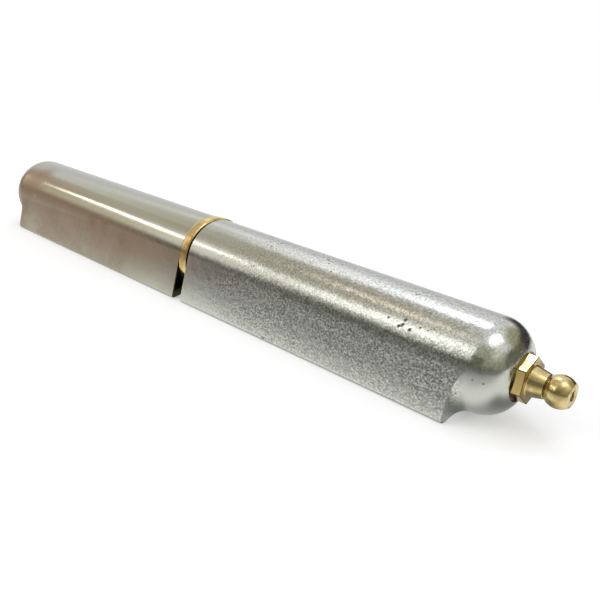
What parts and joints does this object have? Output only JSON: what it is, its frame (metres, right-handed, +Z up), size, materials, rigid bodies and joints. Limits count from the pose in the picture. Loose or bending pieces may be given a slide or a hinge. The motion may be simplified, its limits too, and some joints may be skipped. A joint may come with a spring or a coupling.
{
  "type": "weld-on barrel hinge",
  "caption": "Lift-off weld-on barrel hinge of teardrop steel bar: domed halves turn on a pressed pin, with a thrust washer between them and a grease fitting in one nose.",
  "frame": {"origin": "middle of the footprint of the hinge as it lies at rest, on the surface that it lies on", "axes": "+X along the hinge axis towards the grease fitting, +Z up, -Y towards the side that the weld flats face"},
  "size_m": [0.1868, 0.022, 0.0206],
  "materials": {
    "zinc_steel": "bright zinc plate on drawn and turned steel, a little rough",
    "pin_steel": "ground steel under a film of grease",
    "washer_brass": "turned brass with small nicks",
    "fitting_brass": "machined brass",
    "valve_steel": "polished bearing steel and spring wire"
  },
  "bodies": {
    "pin_half": {"pin_barrel": "zinc_steel", "hinge_pin": "pin_steel"},
    "washer": {"thrust_washer": "washer_brass"},
    "bore_half": {"bore_barrel": "zinc_steel", "grease_fitting": "fitting_brass", "check_spring": "valve_steel"},
    "valve": {"check_ball": "valve_steel"}
  },
  "joints": [
    {"name": "swing", "type": "hinge", "parent": "pin_half", "child": "washer", "pos_m": [-0.00475, 0.00066, 0.0103], "axis": [1, 0, 0], "continuous": true},
    {"name": "lift_off", "type": "slide", "parent": "washer", "child": "bore_half", "axis": [1, 0, 0], "range_m": [0, 0.06]},
    {"name": "check_valve", "type": "slide", "parent": "bore_half", "child": "valve", "axis": [-1, 0, 0], "range_m": [0, 0.0008], "stiffness_N_per_m": 300, "springref_m": -0.002, "deforming": ["check_spring"]}
  ]
}
